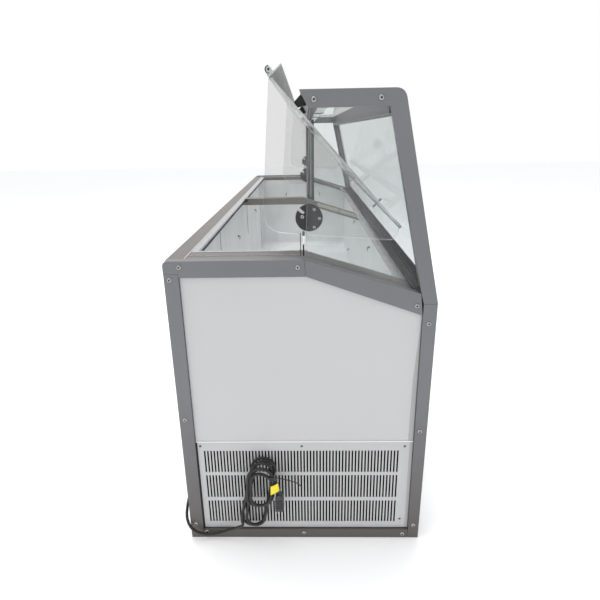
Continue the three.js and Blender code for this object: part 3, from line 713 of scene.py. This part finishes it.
# ---- CAD nodes that stay in view
DRESSED = [
    ("near_grille", GRILLE, "white_steel"),
    ("front_panel", ENAMEL, "white_steel", 0.5),
    ("rear_panel", ENAMEL, "white_steel", 0.5),
    ("front_sill", GREY_SILL, "frame_grey", 1.0),
    ("base_tray", GALVANISED, "dark_steel", 0.4),
    ("liner_tank", LINER, "liner_white", 0.6),
    ("rear_ledge", STEEL, "stainless", 0.5),
    ("front_ledge", DARK_LEDGE, "stainless", 0.5),
    ("mid_divider", DIVIDER, "stainless", 1.0),
    ("mid_post", POST, "frame_grey", 1.2, 3),
    ("mid_pivot_disc", DISC, "black_plastic", 0.8),
    ("crown_rear_rail", POST, "frame_grey", 1.0),
    ("crown_front_rail", SHADED_ALUMINIUM, "bright_aluminium", 1.0),
    ("top_glass", GLASS, "clear_glass"),
    ("front_glass", FRONT_GLASS, "clear_glass"),
    ("front_glass_bead", RUBBER, "black_rubber", 0.8),
    ("lamp_bar", LAMP, "lamp_white", 1.5, 3),
    ("foam_insulation", FOAM, "foam"),
    ("condenser", FINS, "dark_steel"),
    ("fan_shroud", ENAMEL_BLACK, "dark_steel", 0.4),
    ("fan_blade", ALUMINIUM, "bright_aluminium", 0.3),
    ("fan_motor", ENAMEL_BLACK, "dark_steel", 1.0),
    ("compressor", ENAMEL_BLACK, "dark_steel", 0.8),
    ("control_plate", STEEL, "stainless", 0.6),
    ("power_rocker", PLASTIC, "black_plastic", 0.8, 3),
    ("thermostat_knob", PLASTIC, "black_plastic", 0.4),
    ("drain_plug", RUBBER, "black_rubber", 0.6),
]
for end, _ in ENDS:
    for part in ("rear_post", "bottom_rail", "flat_rail", "sloped_rail", "front_post", "guard_hoop"):
        dress(f"{end}_{part}", GREY, "frame_grey", 1.3, 3)
    dress(f"{end}_end_panel", ENAMEL, "white_steel", 0.5)
    dress(f"{end}_end_ledge", STEEL_ENDS, "stainless", 0.4)
    dress(f"{end}_lid_bumper", RUBBER, "black_rubber", 2.0, 3)
    dress(f"{end}_pivot_disc", DISC, "black_plastic", 0.8)
    dress(f"{end}_end_glass", GLASS, "clear_glass")
for row in DRESSED:
    dress(*row)


# ---- Screws and edge trims of the shell
FRAME_SCREWS = [
    (306.4, 869.1), (333.8, 836.1), (7.7, 865.7), (-295.3, 759.4), (-329, 709.2), (332.1, 422.9),
    (-326.3, 382.2), (332.3, 52.5), (-327, 48.6), (300, 22.5), (2.8, 18.4), (-295.9, 15.2),
    (-35.1, 1257.3), (-185.7, 1258.6),
]
GRILLE_SCREWS = [(298.5, 328.5), (5.6, 327.5), (-288.9, 326.5), (-287.3, 65)]


FRAME_FACE = 1150


def make_shell_details():
    for name, side in ENDS:
        heads = [(side * FRAME_FACE, y, z) for y, z in FRAME_SCREWS]
        make_screws(f"{name}_frame_screws", heads, (side, 0, 0), 6.6, 3.4)
    small = [(-1142, y, z) for y, z in GRILLE_SCREWS]
    make_screws("grille_screws", small, (-1, 0, 0), 3.6, 1.8, DULL_SCREW, "dark_steel")
    # Painted highlight: a bright strip along the grille's top edge.
    bar("grille_top_lip_highlight", rect(-311.5, 342.6, 309.7, 345.4), (-1144.8, -1142.2),
        WHITE_AND_LIP_HIGHLIGHT, "white_steel", 0.6)
    # Black strips along the grille's left and bottom edges: the gap there, darkened as painted shadow.
    gap = Maker()
    gap.prism(rect(306.5, 31.6, 310.2, 342), -1143.2, -1142.2)
    gap.prism(rect(-311.6, 31.2, 310, 32.4), -1142.8, -1142.2)
    gap.piece("grille_gap_shadow", RUBBER, "black_rubber")
    mesh = Maker()
    mesh.box((-1137.4, -308, 34), (-1135.4, 306, 339))
    for y in (-300, -100, 100, 298):
        mesh.box((-1135.6, y - 3, 34), (-1133.6, y + 3, 339))
    mesh.piece("grille_dust_filter", FILTER, "black_rubber")
    # Painted shade: grey strips along the customer's-side edges of the grille and the end panel, where the
    # post's inner wall lies in shadow.
    shaded_strip = Maker()
    shaded_strip.prism([(-297, 346), (-299, 540), (-309.5, 700), (-311.6, 727), (-311.6, 346)], -1142.6, -1142.1)
    shaded_strip.prism(rect(-311.6, 341, -302.5, 34), -1142.6, -1142.1)
    shaded_strip.piece("end_panel_margin", MARGIN, "white_steel", 0.2)

    rear = Maker()
    for x in (-1112, -560, 0, 560, 1112):
        for z in (78, 826):
            screw_head(rear, (x, 338, z), (0, 1, 0), 4.6, 2.4)
        screw_head(rear, (x, -344.2, 78), (0, -1, 0), 4.6, 2.4)
    rear.piece("long_panel_screws", [BRIGHT, DARK_SCREW_AND_RECESS_SHADE], "bright_aluminium")
    vents = Maker()
    for row in range(7):
        z = 112 + row * 15
        for column in range(3):
            x = 560 + column * 130
            slot = rounded([(*corner, 2) for corner in rect(x, z, x + 100, z + 5)], 3)
            vents.prism(slot, 337.6, 339.4, 1)
    vents.piece("rear_vent_louvres", ENAMEL, "white_steel", 0.5)


make_shell_details()


# ---- Worktop trims, well fittings
def front_inner(z):
    """Where the front glass's inner face stands at height z."""
    return -334.3 + 0.2128 * (z - 764)


def ledge_z(y):
    """Height of the end ledges, which are flat and then slope down to the customer."""
    return 881 if y > -8 else 881 - (-8 - y) * 0.3137


def on_ledge(y0, y1, rise, foot):
    """Outline of a strip that follows the ledge, from foot to rise above it."""
    return [(y, ledge_z(y) + up) for y, up in rect(y0, rise, y1, foot)]


def ledge_strips(name, side, strips, material, slot, bevel=0.0):
    """Strips along both slopes of an end ledge, each given by its reach in X and its rise."""
    make = Maker()
    for y0, y1 in ((-8, 297), (-286, -8)):
        for x0, x1, rise in strips:
            make.prism(on_ledge(y0, y1, rise, 0.05), *placed(side, x0, x1))
    make.piece(name, material, slot, bevel)


WELL_REACH = (-1034, 1034)


def make_worktop_details():
    trim = Maker()
    trim.prism([(299.2, 881.6), (303.5, 881.6), (303.5, 880.9), (299.4, 880.9)], -1110, 1110)
    roll = [(299.3, 879.6), (299.3, 881.5), (291.5, 880.4), (284, 880.4), (281, 878.5), (281, 877), (290, 878)]
    trim.prism(roll, *WELL_REACH)
    trim.piece("rear_well_trim", PALE_TRIM, "stainless", 0.4)
    seal = rounded([(281.5, 876.6), (297.2, 876.8), (297.2, 861), (284.5, 861, 3)], 4)
    bar("rear_well_seal", seal, WELL_REACH, RUBBER, "black_rubber", 0.6)
    bar("rear_well_bright_line", rect(280.9, 874.4, 282.2, 877), WELL_REACH,
        PALE_TRIM, "stainless")

    low, high = -289.5, -257
    trim = [(low, ledge_z(low) + 1.4), (high, ledge_z(high) + 1.0), (high + 2, ledge_z(high) - 1),
            (high + 2, ledge_z(high) - 5), (high, ledge_z(high) - 5), (high - 1, ledge_z(high) - 1.6),
            (low + 3, ledge_z(low) - 1.4)]
    bar("front_well_trim", trim, WELL_REACH, PALE_TRIM, "stainless", 0.4)
    bar("front_ribbed_band", on_ledge(-318, -290, 1.6, 0.1), (-1118, 1118), RIBBED, "black_rubber", 0.3)
    kick = [(front_inner(786) + 0.4, 786), (front_inner(824) + 0.4, 824), (front_inner(824) + 1.4, 824),
            (front_inner(788) + 3.5, 790), (front_inner(786) + 6, 786)]
    bar("front_glass_kick_strip", kick, (-1117.5, 1117.5), KICK, "black_rubber")

    for name, side in ENDS:
        ledge_strips(f"{name}_end_well_trim", side, ((1036.5, 1048, 1.0), (1083.5, 1085.5, 0.9)), PALE_TRIM,
                     "stainless", 0.3)
        ledge_strips(f"{name}_end_well_seam", side, ((1081, 1083, 0.7), (1118.9, 1119.4, 0.7)), RUBBER,
                     "black_rubber")

    cap = Maker()
    cap.prism(on_ledge(-286, -9, -0.2, -0.95), -14, 14)
    for side in (-1, 1):
        for y0, y1 in ((-282, -178), (-174, -70)):
            cap.prism(on_ledge(y0, y1, -5, -22), *placed(side, 19.1, 19.9))
    cap.piece("divider_sloped_cap", CREAM_CAP, "stainless", 0.2)
    ridge = Maker()
    for x0, x1 in ((-18.5, -16), (16, 18.5)):
        ridge.prism(rect(-5, 881.4, 292, 880.1), x0, x1)
    ridge.piece("divider_edge_beads", PALE_TRIM, "stainless", 0.3)
    bracket = Maker()
    bracket.box((-24, 281, 864), (24, 297, 879.8))
    for x in (-21.5, 21.5):
        bracket.box((x - 2.5, 268, 866), (x + 2.5, 282, 880))
    bracket.box((-21, -283, 777), (21, -272, 793))
    bracket.piece("divider_saddles", BRACKET_STEEL, "stainless", 0.8)


def hook(make, base, out, drop=(0, 0, -1)):
    """A small stud with a bent wire that hangs from it."""
    base, out, drop = Vector(base), Vector(out), Vector(drop)
    make.turned([(0, 0), (4.6, 0), (4.4, 1.6), (2.6, 2.6), (2.2, 6), (0, 6)], base, out, 14)
    tip = base + out * 6
    make.tube(smooth_line([tip - out * 2, tip + out * 2, tip + out * 3 + drop * 5, tip + out * 1 + drop * 12,
                           tip + out * 3 + drop * 15], 1.5), 1.3, 8)


def make_well_fittings():
    hooks = Maker()
    for x in (-915, -192, 531, 960):
        hook(hooks, (x, 299.8, 734), (0, -1, 0))
    for x in (-820, -300, 300, 600):
        hook(hooks, (x, -289.8, 700), (0, 1, 0))
    for side in (1, -1):
        for y in (126, -111):
            hook(hooks, (side * 1034.8, y, 764), (-side, 0, 0))
    hook(hooks, (640, -289.8, 452), (0, 1, 0), (0.5, 0.1, -0.8))
    hooks.piece("liner_hooks", PLASTIC, "black_plastic", 0.2)

    seams = Maker()
    seams.box((168, 298.6, 668), (170.5, 300, 858))
    seams.box((-620, 298.9, 402), (-618.5, 300, 858))
    seams.box((880, 298.9, 402), (881.5, 300, 858))
    seams.piece("liner_seams", BRACKET_STEEL, "liner_white")

    cove = Maker()
    for y, sign in ((300, -1), (-290, 1)):
        cove.prism([(y, 398.1), (y + sign * 16, 398.1), (y + sign * 5, 401), (y, 412)], -1034.5, 1034.5)
    for x, sign in ((-1035, 1), (1035, -1)):
        cove.prism([(x, 398.1), (x + sign * 16, 398.1), (x + sign * 5, 401), (x, 412)], -289.5, 299.5, 1)
    cove.piece("liner_coves", LINER, "liner_white", 1.5)

    ring = Maker()
    lip = [(18.5, 0), (30, 0), (29, 1.2), (20, 1.6), (18.5, 0.8), (18.5, 0)]
    ring.turned(lip, (-860, 0, 398.05), (0, 0, 1), 32)
    ring.piece("drain_collar", PALE_TRIM, "bright_aluminium")


make_worktop_details()
make_well_fittings()


# ---- Guard: glass edges, lamp, clips
def make_glass_edges():
    for name, side in ENDS:
        bar(f"{name}_end_glass_edge", [(-12.9, 886), (-25.9, 1250), (-25.1, 1250.4), (-12.1, 886)],
            placed(side, 1119.7, 1125.5), EDGE_GREY, "clear_glass")
    corner = Maker()
    for side in (-1, 1):
        bead = [(front_inner(z) + out, z) for z, out in rect(786, 0.3, 1225, 3.0)]
        corner.prism(bead, *placed(side, 1117.9, 1119.4))
    corner.piece("guard_corner_bond", EDGE_GREY, "clear_glass")
    drip = [(front_inner(1224) + 0.4, 1222), (front_inner(1224) + 8, 1222), (front_inner(1226) + 8, 1227),
            (front_inner(1226) + 0.4, 1227)]
    bar("crown_drip_edge", drip, (-1118, 1118), SHADED_ALUMINIUM, "bright_aluminium", 0.5)


def make_lamp_fittings():
    ends = Maker()
    for side in (-1, 1):
        cap = rounded([(-43.8, 1267.5), (-43.8, 1241.5, 3), (-73, 1241.5, 8), (-82, 1267.5)])
        ends.prism(cap, *placed(side, 1099.5, 1107))
    for x in (-700, -250, 250, 700):
        ends.prism([(-46, 1242.6), (-46, 1241.2), (-73, 1241.2), (-82.5, 1266.5), (-81, 1267), (-72, 1242.6)],
                   x - 9, x + 9)
    ends.piece("lamp_caps_and_brackets", ENAMEL_BLACK, "black_plastic", 0.6)
    wire = Maker()
    route = [(-1104, -70, 1262), (-1110, -100, 1263), (-1112, -150, 1262), (-1112, -205, 1258)]
    wire.tube(smooth_line(route, 6), 2.6)
    wire.piece("lamp_wire", CABLE, "black_rubber")


def make_guard_clips():
    """Clips of three fingers each, which lean in from the front glass."""
    clips = Maker()
    out = Vector((-0.707, 0.707))
    across = Vector((out.y, -out.x)) * 1.6
    base = Vector((front_inner(948) + 2, 948)) - out
    tip = base - out * 42
    outline = [tuple(corner) for corner in (base + across, base - across, tip - across, tip + across)]
    for x in (-560, 330):
        for strip in range(3):
            clips.prism(outline, x + 9 * strip, x + 9 * strip + 7)
    clips.piece("guard_clips", CLIP, "bright_aluminium", 0.5)


def make_guard_fittings():
    for name, side in ENDS:
        span = placed(side, 1112.4, 1119.3)
        bar(f"{name}_glass_block", rect(-13.5, 917, -5, 939), span, WHITE_AND_LIP_HIGHLIGHT, "clear_glass", 0.8)
        strap = Maker()
        strap.prism(rect(-10.5, 939.3, -4.6, 950), *span, mat=1)
        strap.prism(rect(-9.2, 887, -5.4, 916.8), *span)
        strap.prism(rect(-0.6, 887, 1.4, 945), *span)
        strap.piece(f"{name}_glass_strap", [RUBBER, SHADED_ALUMINIUM], "black_rubber", 0.4)

    bumpers = Maker()
    for x in (-576, 576):
        bumpers.prism(rounded([(11.6, 1254.9, 4), (-5.2, 1272.4, 2.5), (-17.6, 1248.4), (1.9, 1244, 3)], 4),
                      x - 15, x + 15)
    bumpers.piece("inner_lid_bumpers", RUBBER, "black_rubber", 1.5)

    post = Maker()
    post.prism(rect(-13.0, -36.5, -12.3, -42), 886, 1239.5, 2)
    post.prism(rect(-12.9, -17.8, -12.3, -19.6), 886, 1239.5, 2)
    post.prism(rect(-12.5, -54.5, -12.9, -18), 905, 906.6, 2)
    post.piece("mid_post_trim", PALE_TRIM, "bright_aluminium")


make_glass_edges()
make_lamp_fittings()
make_guard_clips()
make_guard_fittings()


# ---- Pivot discs' screws
DISC_AT = Vector((-22, 984.5))
PIVOT = Vector((-5.4, 988.6))
BOLT_CIRCLE = 25.5


def bolt_spots():
    """(y, z) of the three screws on the customer's side of a disc."""
    angles = [math.radians(a) for a in (-60, 0, 60)]
    return [(DISC_AT.x - BOLT_CIRCLE * math.cos(a), DISC_AT.y + BOLT_CIRCLE * math.sin(a)) for a in angles]


def disc_outline(radius):
    """The round bracket's (y, z) outline, open at its notch."""
    angle = math.radians(40)
    reach = Vector((math.cos(angle), math.sin(angle)))
    across = Vector((-reach.y, reach.x)) * 4
    half_mouth = math.asin(4 / radius)
    points = []
    steps = 48
    for i in range(steps + 1):
        a = angle + half_mouth + (2 * math.pi - 2 * half_mouth) * i / steps
        points.append(tuple(DISC_AT + Vector((math.cos(a), math.sin(a))) * radius))
    return points + [tuple(DISC_AT + reach * 17 - across), tuple(DISC_AT + reach * 17 + across)]


def make_pivot_screws():
    heads = Maker()
    for x, side in ((-1112.3, 1), (1112.3, -1), (12.8, -1), (20.0, 1)):
        for spot in bolt_spots():
            screw_head(heads, (x, *spot), (side, 0, 0), 3.7, 2.0)
    heads.piece("pivot_disc_screws", [BRIGHT, DARK_SCREW_AND_RECESS_SHADE], "bright_aluminium")
    glassward = Maker()
    for spot in bolt_spots():
        screw_head(glassward, (-1125.8, *spot), (-1, 0, 0), 3.9, 1.6)
    screw_head(glassward, (-1125.8, *PIVOT), (-1, 0, 0), 4.6, 1.6)
    glassward.piece("near_glass_bolts", [BRIGHT, DARK_SCREW_AND_RECESS_SHADE], "bright_aluminium")
    bar("near_disc_gasket", disc_outline(33.5), (-1119.55, -1119.35), DISC, "black_plastic")


make_pivot_screws()


# ---- Lids
LID_TIP = Vector((65, 1310))
LID_UP = Vector((0.6654, 0.7465))
LID_OUT = Vector((-0.7465, 0.6654))
LID_LENGTH = 475.5
LID_INNER, LID_OUTER = 25, 1107.5


def on_lid(along, out):
    """(y, z) of a point along the lid's sheet from its tip and out from its middle plane."""
    return tuple(LID_TIP + LID_UP * along + LID_OUT * out)


def wing(make, span, material):
    """A clear cheek with its pivot hole; the rim faces take the pale edge colour, a painted highlight."""
    corners = [on_lid(-0.6, 2.4), (68.5, 1306, 2), (96.5, 948.5, 58), (-243.5, 921.5, 24)]
    outer = rounded([*corners, on_lid(-471.5, 0), on_lid(-471.5, 2.4)], 8)
    angles = [2 * math.pi * i / 20 for i in range(20)]
    hole = [(PIVOT.x + 4.7 * math.cos(a), PIVOT.y + 4.7 * math.sin(a)) for a in angles]
    sides = []
    for x in span:
        rings = []
        for outline in (outer, hole):
            rings.append([make.mesh.verts.new((x * MM, y * MM, z * MM)) for y, z in outline])
        edges = [make.mesh.edges.new((ring[i - 1], ring[i])) for ring in rings for i in range(len(ring))]
        filled = bmesh.ops.triangle_fill(make.mesh, edges=edges, use_beauty=True)
        for face in filled["geom"]:
            if isinstance(face, bmesh.types.BMFace):
                face.material_index = material
        sides.append(rings)
    for low, high in zip(*sides):
        for i in range(len(low)):
            face = make.mesh.faces.new((low[i - 1], low[i], high[i], high[i - 1]))
            face.material_index = 1


def make_lid(name, side):
    """Sheet and wings, foot rail, handle with its rubber curl, and the handle's end screws."""
    body = f"{name}_lid"
    shell = Maker()
    sheet = [on_lid(0, -2.5), on_lid(0, 2.5), on_lid(-LID_LENGTH, 2.5), on_lid(-LID_LENGTH, -2.5)]
    for face in shell.prism(sheet, *placed(side, LID_INNER + 5.05, LID_OUTER - 5.05)):
        face.normal_update()
        flat = abs(face.normal.y * LID_OUT.x + face.normal.z * LID_OUT.y)
        face.material_index = 0 if flat > 0.9 else 1
    # The near lid's outer cheek takes the darker clear sheet: painted shade.
    shaded = side < 0
    wing(shell, placed(side, LID_INNER, LID_INNER + 5), 0)
    wing(shell, placed(side, LID_OUTER - 5, LID_OUTER), 2 if shaded else 0)
    finishes = [ACRYLIC, EDGE_HIGHLIGHT_AND_WHITE, SHADED_CHEEK] if shaded else [ACRYLIC, EDGE_HIGHLIGHT_AND_WHITE]
    shell.piece(f"{name}_lid_canopy", finishes, "clear_acrylic", 0.0, body, [f"{name}_lid_shell"])

    rail = Maker()
    e = -LID_LENGTH
    rail.prism([on_lid(e - 1, 3.3), on_lid(e + 19, 3.3), on_lid(e + 19, 2.7), on_lid(e - 0.4, 2.7),
                on_lid(e - 0.4, -2.7), on_lid(e + 22, -2.7), on_lid(e + 22, -3.5), on_lid(e - 1, -3.5)],
               *placed(side, LID_INNER + 0.5, LID_OUTER - 0.3))
    rail.piece(f"{name}_lid_foot_rail", OLIVE_RAIL, "bright_aluminium", 0.2, body)

    grip = Maker()
    profile = [(0.5, -2.7), (6.5, -2.7), (10.5, -0.6), (14.5, 1.8), (18.4, 3.6), (20.6, 6.6), (20.8, 10),
               (19.2, 13.4), (15.6, 15.6), (11.6, 15.2), (8.2, 13.2), (5.6, 13.4), (4.2, 16.5), (3.7, 22),
               (3.7, 33.6), (4.4, 35.2), (4.2, 37.4), (3, 38), (0.5, 38)]
    grip.prism([on_lid(*spot) for spot in profile], *placed(side, LID_INNER, LID_OUTER))
    grip.piece(f"{name}_lid_grip", ALUMINIUM, "bright_aluminium", 0.5, body, [f"{name}_lid_handle"])

    curl = Maker()
    along, out = 13.6, 8.8
    turns = [math.radians(d) for d in range(-150, 41, 19)]
    ring = [on_lid(along + 9.0 * math.cos(a), out + 9.0 * math.sin(a)) for a in turns]
    ring += [on_lid(along + 7.1 * math.cos(a), out + 7.1 * math.sin(a)) for a in turns[::-1]]
    curl.prism(ring, *placed(side, LID_INNER + 1, LID_OUTER + 0.4))
    curl.piece(f"{name}_lid_grip_seal", RUBBER, "black_rubber", 0.0, body)

    ends = Maker()
    for x, way in ((side * LID_OUTER, side), (side * LID_INNER, -side)):
        screw_head(ends, (x, *on_lid(14, 8.8)), (way, 0, 0), 2.8, 1.0)
    ends.piece(f"{name}_lid_grip_screws", [DARK_SCREW_AND_RECESS_SHADE, DARK_SCREW_AND_RECESS_SHADE], "dark_steel", 0.0, body)


for end, side in ENDS:
    make_lid(end, side)


# ---- Operator's controls
def make_control_details():
    bezel = Maker()
    for x0, x1, z0, z1 in ((-991, -986.8, 172.5, 207.5), (-953.2, -949, 172.5, 207.5),
                           (-986.8, -953.2, 203.3, 207.5), (-986.8, -953.2, 172.5, 176.7)):
        bezel.box((x0, 341.4, z0), (x1, 343.6, z1))
    bezel.piece("rocker_bezel", PLASTIC, "black_plastic", 0.5)
    pointer = Maker()
    pointer.box((-905.9, 348.25, 192), (-904.1, 348.75, 204))
    pointer.piece("knob_pointer", EDGE_HIGHLIGHT_AND_WHITE, "lamp_white", body="knob")
    grips = Maker()
    for i in range(24):
        a = 2 * math.pi * i / 24
        spot = Matrix.Translation((-905, 0, 190)) @ Matrix.Rotation(-a, 4, "Y")
        grips.box((-0.8, 344.2, 13.7), (0.8, 347.4, 15.2), 0, spot)
    grips.piece("knob_ribs", PLASTIC, "black_plastic", body="knob")
    dial = Maker()
    for i in range(11):
        a = math.radians(-150 + i * 30)
        spot = Matrix.Translation((-905, 0, 190)) @ Matrix.Rotation(a, 4, "Y")
        long = 5.5 if i % 5 == 0 else 3.2
        dial.box((-0.5, 341.35, 19.5), (0.5, 341.6, 19.5 + long), 0, spot)
    dial.piece("dial_marks", PLASTIC, "black_plastic")
    corners = [(x, 341.3, z) for x in (-1003, -877) for z in (157, 223)]
    make_screws("control_screws", corners, (0, 1, 0), 2.8, 1.6)


make_control_details()


# ---- Floor and light
def make_stage():
    """A plain pale floor and an even white studio."""
    make = Maker()
    make.box((-14000, -14000, -40), (14000, 14000, -0.4))
    data = bpy.data.meshes.new("floor")
    make.mesh.to_mesh(data)
    make.mesh.free()
    floor = linked("floor", data)
    material, tree, shader = blank("pale_floor")
    tree.links.new(ramp(tree, noise(tree, 1.5), (0.3, (0.86, 0.86, 0.86)), (0.7, (0.88, 0.88, 0.88))),
                   shader.inputs["Base Color"])
    shader.inputs["Roughness"].default_value = 0.7
    shader.inputs["Specular IOR Level"].default_value = 0.2
    shader.inputs["Emission Color"].default_value = (1, 1, 1, 1)
    shader.inputs["Emission Strength"].default_value = 0.22
    data.materials.append(material)

    world = bpy.data.worlds.new("studio")
    bpy.context.scene.world = world
    world.use_nodes = True
    tree = world.node_tree
    back = tree.nodes["Background"]
    where = node(tree, "TexCoord").outputs["Generated"]
    height = node(tree, "SeparateXYZ", {"Vector": where}).outputs["Z"]
    sky = ramp(tree, height, (0.0, (1.0, 1.0, 1.0)), (0.35, (1.0, 1.0, 1.0)), (0.85, (0.74, 0.75, 0.77)))
    tree.links.new(sky, back.inputs["Color"])
    back.inputs["Strength"].default_value = 1.0


def lamp(name, place, target, size, power):
    """A square soft light at place that faces target."""
    data = bpy.data.lights.new(name, "AREA")
    data.shape = "RECTANGLE"
    data.size = size
    data.size_y = size
    data.energy = power
    made = linked(name, data)
    made.location = place
    made.rotation_mode = "QUATERNION"
    made.rotation_quaternion = (Vector(target) - Vector(place)).to_track_quat("-Z", "Y")


make_stage()
lamp("key", (-2.6, 2.4, 4.2), (0, 0, 0.7), 2.4, 20)
lamp("top", (0.2, 0.5, 4.6), (0, 0.1, 0.5), 3.4, 150)
bpy.context.scene.view_settings.view_transform = "Standard"
bpy.context.scene.cycles.transparent_max_bounces = 48
